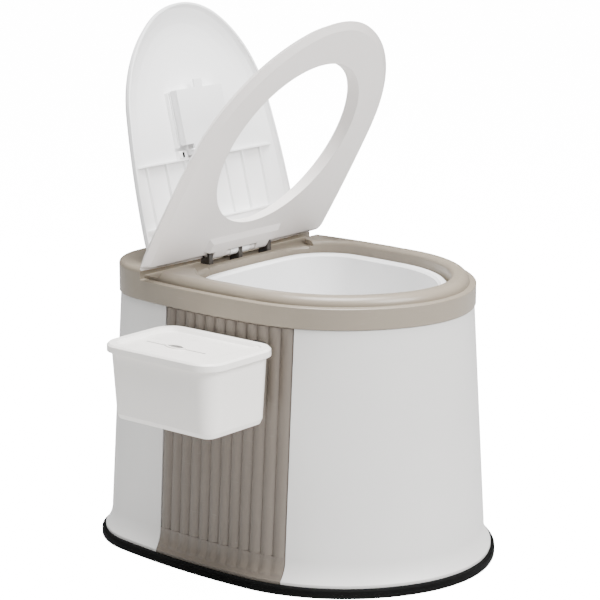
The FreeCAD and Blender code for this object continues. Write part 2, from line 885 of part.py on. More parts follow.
def lid():
    """Return the lid: a shallow domed shell with cross ribs, long ribs and two hinge arms."""
    outer = [lid_line.wire(0, lid_bottom)]
    inner = [lid_line.shrunk(lid_wall).wire(0, lid_bottom - cut_past)]
    for inset, rise in dome_levels():
        outer.append(lid_line.shrunk(inset).wire(0, lid_bottom + rise))
        inner.append(lid_line.shrunk(inset + lid_wall).wire(0, lid_bottom + rise - lid_wall))
    hollow = loft(inner)
    shell = loft(outer).cut(hollow)
    ribs = [rib.common(hollow) for rib in lid_ribs()]
    body = shell.multiFuse(ribs + both_sides(lid_arm()))
    return body.cut(rod(-REACH, REACH, axis_y, axis_z, pin_diameter / 2 + pin_gap))


def lid_ribs():
    """Return the ribs under the lid: two across it and four between them."""
    low = lid_ceiling - lid_rib_height
    high = lid_ceiling + lid_wall / 2
    half = lid_rib_wall / 2
    upper = axis_y - lid_rib_upper
    lower = axis_y - lid_rib_lower
    ribs = [box(-REACH, REACH, y - half, y + half, low, high) for y in (upper, lower)]
    for x in (lid_rib_inner, lid_rib_outer):
        ribs += both_sides(box(x - half, x + half, upper, lower, low + cut_past, high))
    return ribs


def lid_arm():
    """Return one hinge arm of the lid, from its rear lip down to the pin."""
    x0 = lug_wall / 2 + rest_gap
    x1 = lid_knuckle_end
    heel = axis_y - lid_heel
    lip = lid_bottom + lid_lip
    arm = polygon_prism([
        V(x0, axis_y - barrel_radius, axis_z), V(x0, axis_y + barrel_radius, axis_z),
        V(x0, heel - turn_gap, lip - turn_gap), V(x0, heel - 2 * lid_lip, lip + lid_lip),
        V(x0, heel - 2 * lid_lip, lid_bottom), V(x0, axis_y - barrel_radius, lid_bottom),
    ], V(x1 - x0, 0, 0))
    return arm.fuse(rod(x0, x1, axis_y, axis_z, barrel_radius))


def holder_span():
    """Return the Y values of the deodoriser holder: hinge end first."""
    near = axis_y - holder_near
    return near, near - holder_length


def holder_axis():
    """Return the Y and Z of the cover's hinge line."""
    return axis_y - holder_hinge, lid_ceiling - holder_depth - cover_thickness / 2


def deodoriser_holder():
    """Return the holder under the lid: a tray wall with vents, and two hinge lugs."""
    near, far = holder_span()
    half = holder_width / 2
    low = lid_ceiling - holder_depth
    tray = box(-half, half, far, near, low, lid_ceiling)
    tray = tray.cut(box(-half + holder_wall, half - holder_wall, far + holder_wall,
                        near - holder_wall, low - cut_past, lid_ceiling - holder_wall))
    vents = []
    for x in (-vent_x, vent_x):
        vents.append(box(x - vent_length / 2, x + vent_length / 2, far - cut_past, far + 2 * holder_wall,
                         low + holder_depth / 2, low + holder_depth / 2 + vent_height))
    tray = tray.cut(vents)
    hinge_y, hinge_z = holder_axis()
    lug = box(holder_lug_x, holder_lug_x + holder_lug_wall, hinge_y - holder_hinge_radius,
              hinge_y + holder_hinge_radius, hinge_z, lid_ceiling)
    lug = lug.fuse(rod(holder_lug_x, holder_lug_x + holder_lug_wall, hinge_y, hinge_z,
                       holder_hinge_radius))
    tie = box(holder_lug_x, holder_lug_x + holder_lug_wall, near - cut_past, hinge_y,
              lid_ceiling - holder_depth / 2, lid_ceiling)
    tray = tray.multiFuse(both_sides(lug) + both_sides(tie))
    return tray.cut(rod(-REACH, REACH, hinge_y, hinge_z, holder_peg / 2 + pin_gap))


def deodoriser_cover():
    """Return the cover of the holder with its thumb tab, hinge bar and two pegs."""
    near, far = holder_span()
    half = holder_width / 2
    hinge_y, hinge_z = holder_axis()
    high = lid_ceiling - holder_depth - rest_gap
    low = high - cover_thickness
    plate = box(-half, half, far, near, low, high)
    inset = holder_wall + rest_gap
    frame = box(-half + inset, half - inset, far + inset, near - inset, low, high + cover_rim)
    frame = frame.cut(box(-half + inset + cover_rim, half - inset - cover_rim,
                          far + inset + cover_rim, near - inset - cover_rim, high, REACH))
    tab = box(-tab_width / 2, tab_width / 2, far - tab_reach, far + cut_past, low, high)
    bar_half = holder_lug_x - rest_gap
    bar = rod(-bar_half, bar_half, hinge_y, hinge_z, holder_hinge_radius - turn_gap)
    bridge = box(-bar_half, bar_half, near - cut_past, hinge_y, low, high)
    peg_end = holder_lug_x + holder_lug_wall - rest_gap
    peg = rod(-peg_end, peg_end, hinge_y, hinge_z, holder_peg / 2)
    return plate.multiFuse([frame, tab, bar, bridge, peg])


def bucket():
    """Return the lift-out bucket with its rolled rim."""
    top = bucket_rim_top
    under = top - bucket_rim_height
    bend = bucket_rim_round
    rim = opening_line.ring([
        (-bucket_gap, under), (-bucket_gap, top - bend), (-bucket_gap - bend, top),
        (-bucket_gap - bucket_rim_width + bend, top), (-bucket_gap - bucket_rim_width, top - bend),
        (-bucket_gap - bucket_rim_width, under),
    ])
    mouth = -bucket_gap - bucket_rim_width
    outer = loft([
        opening_line.wire(mouth - bucket_draft, bucket_floor),
        opening_line.wire(mouth + bucket_wall, top - bend),
    ])
    inner = loft([
        opening_line.wire(mouth - bucket_draft - bucket_wall, bucket_floor + bucket_wall),
        opening_line.wire(mouth, top + cut_past),
    ])
    return outer.fuse(rim).cut(inner)


def box_span(inset):
    """Return the plan sides of the paper box, moved inward by an inset."""
    x1 = -box_back - inset
    x0 = -box_back - box_depth + inset
    y0 = box_centre_y - box_length / 2 + inset
    y1 = box_centre_y + box_length / 2 - inset
    return x0, x1, y0, y1


def box_wire(inset, z):
    """Return the outline of the paper box at an inset and a height."""
    return rounded_wire(*box_span(inset), box_corner - inset, z)


def box_inset(z):
    """Return the inset of the paper box's outer wall at a height."""
    share = (box_mouth - z) / (box_mouth - box_low - box_foot_round)
    return box_overhang + share * box_draft


def paper_box():
    """Return the tapered paper box with its two hooks and its standoffs."""
    foot = box_overhang + box_draft
    curve = box_foot_round * ARC_SHARE
    bend = box_low + box_foot_round
    outer = loft([
        box_wire(foot + box_foot_round, box_low), box_wire(foot + curve, box_low + curve),
        box_wire(foot, bend), box_wire(box_overhang, box_mouth),
    ])
    inner = loft([
        box_wire(foot + box_foot_round, box_low + box_wall),
        box_wire(foot + box_wall, bend), box_wire(box_inset(box_top) + box_wall, box_top),
    ])
    shell = outer.cut(inner)
    back = -box_back - box_overhang
    hooks = [paper_hook(y, back) for y in hook_places()]
    pads = [paper_standoff(y, bend) for y in hook_places()]
    return shell.multiFuse(hooks + [pad.cut(inner) for pad in pads])


def hook_plane(z):
    """Return the X of the side panel's inner face at a height, on the box's centre line."""
    return -rim_half_width - wall_offset(z) + panel_wall


def paper_hook(y, back):
    """Return one hook that reaches through the side panel and down behind it."""
    sill = box_top - hook_drop - hook_neck
    half = hook_width / 2
    behind = hook_plane(sill + hook_neck) + 2 * rest_gap + side_sag(y)
    neck = box(back - box_wall, behind + hook_wall, y - half, y + half, sill, sill + hook_neck)
    tongue = box(behind, behind + hook_wall, y - half, y + half, sill - hook_tongue, sill + hook_neck)
    return neck.fuse(tongue)


def side_sag(y):
    """Return how far the side wall has curved inward at a Y value."""
    reach = abs(y - widest_y) + hook_width / 2
    return side_radius - math.sqrt(side_radius ** 2 - reach ** 2)


def paper_standoff(y, z):
    """Return one low pad between the paper box and the side panel."""
    half = standoff_width / 2
    wall = -rim_half_width - wall_offset(z) - reed_rise - rest_gap
    deep = -box_back - box_overhang - box_draft - box_wall
    return box(deep, wall, y - half, y + half, z, z + standoff_height)


def paper_box_cover():
    """Return the press-on cover of the paper box, recessed, with its pull-out slit."""
    low = box_top - box_rim_height
    outer = loft([
        box_wire(0, low), box_wire(0, box_top - cover_round), box_wire(cover_round, box_top),
    ])
    floor = box_top - cover_recess
    recess = loft([
        box_wire(cover_border + cover_recess, floor), box_wire(cover_border, box_top + cut_past),
    ])
    step_y = box_centre_y - box_length / 2 + cover_step
    recess = recess.cut(box(-REACH, 0, -REACH, step_y, floor - cut_past, floor + cover_step_rise))
    lip = box_overhang - rest_gap
    under = loft([box_wire(lip, low - cut_past), box_wire(lip, box_mouth + rest_gap)])
    plug_low = floor - cover_plate - cover_skirt
    plug_inset = box_wall + rest_gap
    plug = loft([
        box_wire(box_inset(plug_low) + plug_inset, plug_low),
        box_wire(box_inset(box_mouth) + plug_inset, box_mouth + cut_past),
    ])
    hollow_inset = box_inset(plug_low) + plug_inset + box_wall
    hollow = loft([box_wire(hollow_inset, box_low), box_wire(hollow_inset, floor - cover_plate)])
    cover = outer.cut(under).fuse(plug).cut(recess).cut(hollow)
    return cover.cut(slit_cutter())


def slit_cutter():
    """Return the pull-out slit: a narrow slot with a lens-shaped middle."""
    x = -box_back - box_depth / 2 - slit_outward
    y = box_centre_y + slit_rearward
    slot = box(x - slit_width / 2, x + slit_width / 2, y - slit_length / 2, y + slit_length / 2, 0, REACH)
    ends = (V(x, y - slit_lens / 2, 0), V(x, y + slit_lens / 2, 0))
    sides = (V(x - slit_lens_width / 2, y, 0), V(x + slit_lens_width / 2, y, 0))
    lens = Part.Wire([Part.Arc(ends[0], sides[0], ends[1]).toShape(),
                      Part.Arc(ends[1], sides[1], ends[0]).toShape()])
    return slot.fuse(Part.Face(lens).extrude(V(0, 0, REACH)))


def write(name, shape):
    """Write one node, made of one solid or of a group of separate solids."""
    solids = shape if isinstance(shape, list) else shape.Solids
    target = solids[0] if len(solids) == 1 else Part.makeCompound(solids)
    target.exportStep(os.path.join("parts", name + ".step"))
    volume = sum(solid.Volume for solid in solids)
    print(name, len(solids), "solids", round(volume / 1000, 2), "cm3", target.isValid())


def build():
    """Make every node and write it."""
    os.makedirs("parts", exist_ok=True)
    nodes = stand_panels()
    nodes["foot_trim"] = foot_trim()
    nodes["base_plate"] = base_plate()
    nodes["base_screws"] = screws(base_screw_places(), screw_head_height + rest_gap, base_screw_length, True)
    nodes["rim_ring"] = rim_ring()
    nodes["rim_screws"] = screws(rim_screw_places(), panel_top - panel_wall, rim_screw_length, True)
    nodes["hinge_bracket"] = hinge_bracket()
    nodes["hinge_screws"] = screws(hinge_screw_places(), hinge_pocket + bracket_base, hinge_screw_length, False)
    nodes["hinge_pin"] = hinge_pin()
    nodes["seat"] = swing(seat(), seat_angle)
    nodes["lid"] = swing(lid(), lid_angle)
    nodes["deodoriser_holder"] = swing(deodoriser_holder(), lid_angle)
    nodes["deodoriser_cover"] = swing(deodoriser_cover(), lid_angle)
    nodes["bucket"] = bucket()
    nodes["paper_box"] = paper_box()
    nodes["paper_box_cover"] = paper_box_cover()
    for name in nodes:
        write(name, nodes[name])


build()
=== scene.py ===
"""Looks of a camping toilet: a panelled stand, a taupe rim, a bucket, seat, lid and paper box."""

import json
import logging
import math
from dataclasses import dataclass
from enum import Enum
from typing import Callable, Sequence

import bpy
from mathutils import Matrix, Vector


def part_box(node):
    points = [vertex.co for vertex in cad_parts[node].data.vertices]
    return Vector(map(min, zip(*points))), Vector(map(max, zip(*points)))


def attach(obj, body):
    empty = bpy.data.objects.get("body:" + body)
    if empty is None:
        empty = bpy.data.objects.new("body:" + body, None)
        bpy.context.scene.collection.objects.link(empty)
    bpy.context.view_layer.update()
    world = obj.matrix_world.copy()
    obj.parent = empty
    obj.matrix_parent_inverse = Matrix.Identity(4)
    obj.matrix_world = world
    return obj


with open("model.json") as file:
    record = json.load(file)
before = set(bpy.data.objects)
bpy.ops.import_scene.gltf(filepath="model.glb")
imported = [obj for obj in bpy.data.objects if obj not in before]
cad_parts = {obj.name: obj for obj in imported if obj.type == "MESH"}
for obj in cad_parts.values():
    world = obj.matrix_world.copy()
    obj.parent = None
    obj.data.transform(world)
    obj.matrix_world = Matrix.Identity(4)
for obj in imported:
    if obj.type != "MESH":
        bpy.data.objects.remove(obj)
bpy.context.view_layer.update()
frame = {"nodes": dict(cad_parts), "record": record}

LOG = logging.getLogger("camping_toilet")
MM = 0.001
ROD_SIDES = 48
DISC_SIDES = 128
ROUND_ANGLE = math.radians(40)
SMOOTH_ANGLE = math.radians(35)
LAY_GAP = 0.1 * MM
FACING = 0.9
FLAT = 0.99

Colour = tuple[float, float, float]
Point = tuple[float, float, float]
FaceTest = Callable[[Vector, Vector], bool]


class Band(Enum):
    """Which way a surface pattern is stretched, in Object coordinates."""

    EVEN = (1.0, 1.0, 1.0)
    ACROSS = (0.12, 1.0, 1.0)


# Shader groups

def group_socket(
    group: bpy.types.NodeTree, name: str, way: str, kind: str, value: float | None = None
) -> None:
    """Add a named socket to a shader group.

    Args:
        group: the shader group.
        name: the socket's name.
        way: INPUT or OUTPUT.
        kind: the socket's type.
        value: the default of a number input.
    """
    socket = group.interface.new_socket(name=name, in_out=way, socket_type=kind)
    if value is not None:
        socket.default_value = value


def start_group(name: str, inputs: dict[str, float], outputs: Sequence[str]) -> bpy.types.NodeTree:
    """Start a shader group that reads a vector and numbers.

    Args:
        name: the group's name.
        inputs: number inputs with their defaults.
        outputs: the names of the number outputs.

    Returns:
        The group, with its input and output nodes named In and Out.
    """
    group = bpy.data.node_groups.new(name, "ShaderNodeTree")
    group_socket(group, "Vector", "INPUT", "NodeSocketVector")
    for key, value in inputs.items():
        group_socket(group, key, "INPUT", "NodeSocketFloat", value)
    for key in outputs:
        group_socket(group, key, "OUTPUT", "NodeSocketFloat")
    group.nodes.new("NodeGroupInput").name = "In"
    group.nodes.new("NodeGroupOutput").name = "Out"
    return group


def math_node(
    tree: bpy.types.NodeTree, operation: str, first: object, second: object
) -> bpy.types.NodeSocket:
    """Add a math node.

    Args:
        tree: the node tree.
        operation: the math operation.
        first: a socket or a number.
        second: a socket or a number.

    Returns:
        The output socket.
    """
    node = tree.nodes.new("ShaderNodeMath")
    node.operation = operation
    for index, value in enumerate((first, second)):
        if isinstance(value, bpy.types.NodeSocket):
            tree.links.new(value, node.inputs[index])
        else:
            node.inputs[index].default_value = value
    return node.outputs[0]


def noise_node(
    tree: bpy.types.NodeTree, vector: bpy.types.NodeSocket, scale: object, detail: float
) -> bpy.types.NodeSocket:
    """Add a noise texture.

    Args:
        tree: the node tree.
        vector: the coordinates.
        scale: a socket or a number.
        detail: how many octaves the noise has.

    Returns:
        The noise value.
    """
    node = tree.nodes.new("ShaderNodeTexNoise")
    node.inputs["Detail"].default_value = detail
    tree.links.new(vector, node.inputs["Vector"])
    if isinstance(scale, bpy.types.NodeSocket):
        tree.links.new(scale, node.inputs["Scale"])
    else:
        node.inputs["Scale"].default_value = scale
    return node.outputs["Fac"]


def range_node(
    tree: bpy.types.NodeTree, value: bpy.types.NodeSocket, low: float, high: float, start: float, end: float
) -> bpy.types.NodeSocket:
    """Map a range of values to another, clamped.

    Args:
        tree: the node tree.
        value: what is mapped.
        low: the value that becomes start.
        high: the value that becomes end.
        start: the first result.
        end: the last result.

    Returns:
        The mapped value.
    """
    node = tree.nodes.new("ShaderNodeMapRange")
    node.inputs["From Min"].default_value = low
    node.inputs["From Max"].default_value = high
    node.inputs["To Min"].default_value = start
    node.inputs["To Max"].default_value = end
    tree.links.new(value, node.inputs["Value"])
    return node.outputs["Result"]


def build_grain_group() -> bpy.types.NodeTree:
    """Make the group for the fine spark-eroded grain of moulded plastic.

    Returns:
        A group with the outputs Height and Mask.
    """
    group = start_group("moulded_grain", {"Scale": 1800.0}, ("Height", "Mask"))
    source, target = group.nodes["In"], group.nodes["Out"]
    fine = noise_node(group, source.outputs["Vector"], source.outputs["Scale"], 2.0)
    cells = group.nodes.new("ShaderNodeTexVoronoi")
    group.links.new(source.outputs["Vector"], cells.inputs["Vector"])
    group.links.new(source.outputs["Scale"], cells.inputs["Scale"])
    height = math_node(group, "ADD", fine, math_node(group, "MULTIPLY", cells.outputs["Distance"], 0.6))
    group.links.new(height, target.inputs["Height"])
    group.links.new(range_node(group, fine, 0.35, 0.65, 0.0, 1.0), target.inputs["Mask"])
    return group


def build_drift_group() -> bpy.types.NodeTree:
    """Make the group for the slow change of tone over a moulding, with its flow marks.

    Returns:
        A group with the outputs Tone and Flow.
    """
    group = start_group("tone_drift", {"Scale": 9.0}, ("Tone", "Flow"))
    source, target = group.nodes["In"], group.nodes["Out"]
    slow = noise_node(group, source.outputs["Vector"], source.outputs["Scale"], 3.0)
    streak = group.nodes.new("ShaderNodeMapping")
    streak.inputs["Scale"].default_value = (1.0, 1.0, 0.15)
    group.links.new(source.outputs["Vector"], streak.inputs["Vector"])
    finer = math_node(group, "MULTIPLY", source.outputs["Scale"], 6.0)
    flow = noise_node(group, streak.outputs["Vector"], finer, 4.0)
    group.links.new(range_node(group, slow, 0.3, 0.7, 0.0, 1.0), target.inputs["Tone"])
    group.links.new(range_node(group, flow, 0.35, 0.7, 0.0, 1.0), target.inputs["Flow"])
    return group


def build_scuff_group() -> bpy.types.NodeTree:
    """Make the group for light rubbing marks and a film of dust near the floor.

    Returns:
        A group with the outputs Scuff and Dust.
    """
    group = start_group("rub_and_dust", {"Scale": 60.0, "Dust height": 0.03}, ("Scuff", "Dust"))
    source, target = group.nodes["In"], group.nodes["Out"]
    stretch = group.nodes.new("ShaderNodeMapping")
    stretch.inputs["Scale"].default_value = (1.0, 1.0, 6.0)
    stretch.inputs["Rotation"].default_value = (0.5, 0.3, 0.2)
    group.links.new(source.outputs["Vector"], stretch.inputs["Vector"])
    marks = noise_node(group, stretch.outputs["Vector"], source.outputs["Scale"], 6.0)
    group.links.new(range_node(group, marks, 0.64, 0.78, 0.0, 1.0), target.inputs["Scuff"])
    split = group.nodes.new("ShaderNodeSeparateXYZ")
    group.links.new(source.outputs["Vector"], split.inputs["Vector"])
    near = math_node(group, "DIVIDE", split.outputs["Z"], source.outputs["Dust height"])
    fade = range_node(group, near, 0.0, 1.0, 1.0, 0.0)
    patches = noise_node(group, source.outputs["Vector"], 120.0, 5.0)
    group.links.new(math_node(group, "MULTIPLY", fade, patches), target.inputs["Dust"])
    return group


@dataclass(frozen=True)
class ShaderGroups:
    """The shader groups that the finishes share."""

    grain: bpy.types.NodeTree
    drift: bpy.types.NodeTree
    scuff: bpy.types.NodeTree


def build_groups() -> ShaderGroups:
    """Return all shader groups, built once."""
    return ShaderGroups(build_grain_group(), build_drift_group(), build_scuff_group())


# Finishes

@dataclass(frozen=True)
class Finish:
    """A finish of one material: colour, gloss, grain and marks."""

    name: str
    colour: Colour
    shade: Colour
    mark: Colour
    roughness: float
    roughness_spread: float = 0.08
    metallic: float = 0.0
    specular: float = 0.5
    grain_scale: float = 1800.0
    grain_depth: float = 0.03
    drift_scale: float = 9.0
    scuff_share: float = 0.25
    dust_height: float = 0.03
    edge_radius: float = 0.0009
    edge_samples: int = 4
    bump_distance: float = 0.0003
    band: Band = Band.EVEN

    def build(self, groups: ShaderGroups) -> bpy.types.Material:
        """Make the node material of this finish.

        Args:
            groups: the shared shader groups.

        Returns:
            The material.
        """
        material = bpy.data.materials.new(self.name)
        material.use_nodes = True
        tree = material.node_tree
        shader = tree.nodes["Principled BSDF"]
        shader.inputs["Metallic"].default_value = self.metallic
        shader.inputs["Specular IOR Level"].default_value = self.specular
        place = tree.nodes.new("ShaderNodeTexCoord")
        stretch = tree.nodes.new("ShaderNodeMapping")
        stretch.inputs["Scale"].default_value = self.band.value
        tree.links.new(place.outputs["Object"], stretch.inputs["Vector"])
        grain = self.place_group(tree, groups.grain, stretch.outputs["Vector"])
        grain.inputs["Scale"].default_value = self.grain_scale
        drift = self.place_group(tree, groups.drift, place.outputs["Object"])
        drift.inputs["Scale"].default_value = self.drift_scale
        scuff = self.place_group(tree, groups.scuff, place.outputs["Object"])
        scuff.inputs["Dust height"].default_value = self.dust_height
        toned = self.mix(tree, drift.outputs["Tone"], self.colour, self.shade)
        rub = math_node(tree, "MULTIPLY", scuff.outputs["Scuff"], self.scuff_share)
        rubbed = self.mix(tree, rub, toned, self.mark)
        dust = math_node(tree, "MULTIPLY", scuff.outputs["Dust"], self.scuff_share)
        dusted = self.mix(tree, dust, rubbed, self.mark)
        tree.links.new(dusted, shader.inputs["Base Color"])
        dullest = self.roughness + self.roughness_spread
        gloss = range_node(tree, drift.outputs["Flow"], 0.0, 1.0, self.roughness, dullest)
        dull = math_node(tree, "MULTIPLY", grain.outputs["Mask"], self.roughness_spread / 2)
        tree.links.new(math_node(tree, "ADD", gloss, dull), shader.inputs["Roughness"])
        soft = tree.nodes.new("ShaderNodeBevel")
        soft.samples = self.edge_samples
        soft.inputs["Radius"].default_value = self.edge_radius
        bump = tree.nodes.new("ShaderNodeBump")
        bump.inputs["Strength"].default_value = self.grain_depth
        bump.inputs["Distance"].default_value = self.bump_distance
        tree.links.new(grain.outputs["Height"], bump.inputs["Height"])
        tree.links.new(soft.outputs["Normal"], bump.inputs["Normal"])
        tree.links.new(bump.outputs["Normal"], shader.inputs["Normal"])
        return material

    @staticmethod
    def place_group(
        tree: bpy.types.NodeTree, group: bpy.types.NodeTree, vector: bpy.types.NodeSocket
    ) -> bpy.types.Node:
        """Place a shader group in a material.

        Args:
            tree: the material's nodes.
            group: the shader group.
            vector: the coordinates that it reads.

        Returns:
            The group's node.
        """
        node = tree.nodes.new("ShaderNodeGroup")
        node.node_tree = group
        tree.links.new(vector, node.inputs["Vector"])
        return node

    @staticmethod
    def mix(
        tree: bpy.types.NodeTree, share: bpy.types.NodeSocket, first: object, second: object
    ) -> bpy.types.NodeSocket:
        """Mix two colours.

        Args:
            tree: the material's nodes.
            share: how much of the second colour shows.
            first: a colour or a colour socket.
            second: a colour or a colour socket.

        Returns:
            The mixed colour.
        """
        node = tree.nodes.new("ShaderNodeMix")
        node.data_type = "RGBA"
        tree.links.new(share, node.inputs["Factor"])
        for key, value in (("A", first), ("B", second)):
            socket = next(s for s in node.inputs if s.name == key and s.type == "RGBA")
            if isinstance(value, bpy.types.NodeSocket):
                tree.links.new(value, socket)
            else:
                socket.default_value = (*value, 1.0)
        return next(s for s in node.outputs if s.type == "RGBA")


PANEL_WHITE = Finish(
    "panel_white", (0.64, 0.632, 0.615), (0.612, 0.604, 0.588), (0.5, 0.48, 0.46),
    roughness=0.4, scuff_share=0.1,
)
RIM_TAUPE = Finish(
    "rim_taupe", (0.225, 0.192, 0.148), (0.21, 0.178, 0.138), (0.31, 0.28, 0.24),
    roughness=0.3, grain_depth=0.05,
)
FLUTE_TAUPE = Finish(
    "flute_taupe", (0.138, 0.116, 0.094), (0.128, 0.107, 0.087), (0.21, 0.19, 0.17),
    roughness=0.4, grain_depth=0.05,
)
TRIM_BLACK = Finish(
    "trim_black", (0.004, 0.004, 0.004), (0.006, 0.006, 0.006), (0.03, 0.028, 0.026),
    roughness=0.6, specular=0.03, grain_depth=0.12, scuff_share=0.2, dust_height=0.006,
)
BASE_GREY = Finish(
    "base_grey", (0.45, 0.45, 0.44), (0.41, 0.41, 0.4), (0.3, 0.29, 0.27),
    roughness=0.6, grain_depth=0.1,
)
SEAT_WHITE = Finish(
    "seat_white", (0.72, 0.682, 0.655), (0.7, 0.662, 0.636), (0.6, 0.57, 0.54),
    roughness=0.3, scuff_share=0.06,
)
LID_WHITE = Finish(
    "lid_white", (0.9, 0.9, 0.9), (0.88, 0.88, 0.88), (0.74, 0.73, 0.71),
    roughness=0.34, scuff_share=0.06,
)
HOLDER_WHITE = Finish(
    "holder_white", (0.84, 0.84, 0.84), (0.81, 0.81, 0.81), (0.68, 0.67, 0.65),
    roughness=0.34, scuff_share=0.08,
)
BUCKET_WHITE = Finish(
    "bucket_white", (0.86, 0.86, 0.86), (0.83, 0.83, 0.83), (0.66, 0.65, 0.62),
    roughness=0.3, scuff_share=0.15,
)
BOX_WHITE = Finish(
    "box_white", (0.86, 0.832, 0.79), (0.84, 0.812, 0.772), (0.7, 0.69, 0.67),
    roughness=0.26, scuff_share=0.08,
)
# Painted shade: the hinge bracket is coloured near-black to stand in for the shadow in its pocket under the
# hinge.
HINGE_SHADE = Finish(
    "hinge_dark", (0.05, 0.045, 0.04), (0.042, 0.038, 0.034), (0.14, 0.13, 0.12),
    roughness=0.42, scuff_share=0.15,
)
# Painted shade: near-black colour for the inside of the catch's slot, where the recess lies in shadow.
SLOT_SHADE = Finish(
    "slot_painted_shade", (0.02, 0.018, 0.016), (0.03, 0.027, 0.025), (0.1, 0.09, 0.08), roughness=0.6
)
STEEL = Finish(
    "steel", (0.58, 0.58, 0.58), (0.5, 0.5, 0.5), (0.35, 0.34, 0.33),
    roughness=0.3, metallic=1.0,
    grain_scale=900.0, grain_depth=0.15, edge_radius=0.0003, band=Band.ACROSS,
)


def dress_node(node: str, material: bpy.types.Material) -> None:
    """Give a CAD node its finish.

    Args:
        node: the node's name.
        material: the finish.
    """
    for slot in frame["nodes"][node].material_slots:
        slot.material = material
    LOG.info("dressed %s with %s", node, material.name)


# Modelling steps

def joint(name: str) -> dict:
    """Return a joint of the record.

    Args:
        name: the joint's name.

    Returns:
        The joint's entry.
    """
    return next(entry for entry in frame["record"]["behaviour"]["joints"] if entry["name"] == name)


def select_only(piece: bpy.types.Object) -> None:
    """Go to object mode and select one piece alone.

    Args:
        piece: the piece, which becomes the active one.
    """
    if piece.mode != "OBJECT":
        bpy.ops.object.mode_set(mode="OBJECT")
    bpy.ops.object.select_all(action="DESELECT")
    piece.select_set(True)
    bpy.context.view_layer.objects.active = piece


def apply_step(piece: bpy.types.Object, step: bpy.types.Modifier) -> None:
    """Apply a modifier of a piece.

    Args:
        piece: the piece.
        step: its modifier.
    """
    select_only(piece)
    bpy.ops.object.modifier_apply(modifier=step.name)


def apply_place(piece: bpy.types.Object) -> None:
    """Apply a piece's place, turn and scale to its mesh.

    Args:
        piece: the piece.
    """
    select_only(piece)
    bpy.ops.object.transform_apply(location=True, rotation=True, scale=True)


def start_block(name: str, low: Point, high: Point) -> bpy.types.Object:
    """Start a piece from a cube that fills a box.

    Args:
        name: the piece's name.
        low: the box's lowest corner.
        high: the box's highest corner.

    Returns:
        The block, in object mode.
    """
    bpy.ops.object.select_all(action="DESELECT")
    bpy.ops.mesh.primitive_cube_add(size=1.0, location=[(a + b) / 2 for a, b in zip(low, high)])
    piece = bpy.context.object
    piece.name = piece.data.name = name
    piece.scale = [b - a for a, b in zip(low, high)]
    apply_place(piece)
    return piece


def start_rod(name: str, place: Point, radius: float, length: float) -> bpy.types.Object:
    """Start a piece from a cylinder that lies along X.

    Args:
        name: the piece's name.
        place: the cylinder's middle.
        radius: its radius.
        length: its length.

    Returns:
        The rod, in object mode.
    """
    bpy.ops.object.select_all(action="DESELECT")
    bpy.ops.mesh.primitive_cylinder_add(
        vertices=ROD_SIDES, radius=radius, depth=length, location=place, rotation=(0.0, math.radians(90), 0.0)
    )
    piece = bpy.context.object
    piece.name = piece.data.name = name
    apply_place(piece)
    return piece


def start_disc(name: str, foot: Point, radius: float, height: float) -> bpy.types.Object:
    """Start a piece from an upright cylinder.

    Args:
        name: the piece's name.
        foot: the middle of its foot.
        radius: its radius.
        height: its height.

    Returns:
        The disc, in object mode.
    """
    bpy.ops.object.select_all(action="DESELECT")
    middle = (foot[0], foot[1], foot[2] + height / 2)
    bpy.ops.mesh.primitive_cylinder_add(vertices=DISC_SIDES, radius=radius, depth=height, location=middle)
    piece = bpy.context.object
    piece.name = piece.data.name = name
    apply_place(piece)
    return piece


def pick_faces(piece: bpy.types.Object, test: FaceTest) -> None:
    """Select the faces that pass a test, and stay in edit mode.

    Args:
        piece: the piece.
        test: says from a face's middle and normal whether it is wanted.
    """
    select_only(piece)
    bpy.context.tool_settings.mesh_select_mode = (False, False, True)
    for item in (*piece.data.vertices, *piece.data.edges):
        item.select = False
    for face in piece.data.polygons:
        face.select = test(face.center, face.normal)
    bpy.ops.object.mode_set(mode="EDIT")


def cut(piece: bpy.types.Object, cutter: bpy.types.Object, way: str) -> None:
    """Cut a piece with another one, which is used up.

    Args:
        piece: what is kept.
        cutter: what cuts it.
        way: INTERSECT or DIFFERENCE.
    """
    step = piece.modifiers.new("cut", "BOOLEAN")
    step.operation = way
    step.solver = "EXACT"
    step.object = cutter
    apply_step(piece, step)
    bpy.data.objects.remove(cutter)


def round_edges(piece: bpy.types.Object, width: float) -> None:
    """Round the sharp edges of a piece.

    Args:
        piece: the piece.
        width: the width of the rounding.
    """
    step = piece.modifiers.new("round", "BEVEL")
    step.width = width
    step.segments = 2
    step.limit_method = "ANGLE"
    step.angle_limit = ROUND_ANGLE
    apply_step(piece, step)


def pick_points(piece: bpy.types.Object, test: Callable[[Vector], bool]) -> None:
    """Select the points that pass a test, and stay in edit mode.

    Args:
        piece: the piece.
        test: says from a point's place whether it is wanted.
    """
    select_only(piece)
    bpy.context.tool_settings.mesh_select_mode = (True, False, False)
    for item in (*piece.data.edges, *piece.data.polygons):
        item.select = False
    for point in piece.data.vertices:
        point.select = test(point.co)
    bpy.ops.object.mode_set(mode="EDIT")


def lay_on(piece: bpy.types.Object, target: bpy.types.Object) -> None:
    """Lay an upright sheet on the side of another piece, along X.

    Args:
        piece: the sheet.
        target: what it is laid on.
    """
    step = piece.modifiers.new("lay", "SHRINKWRAP")
    step.target = target
    step.wrap_method = "PROJECT"
    step.offset = LAY_GAP
    step.use_project_x = True
    step.use_negative_direction = True
    step.use_positive_direction = True
    apply_step(piece, step)


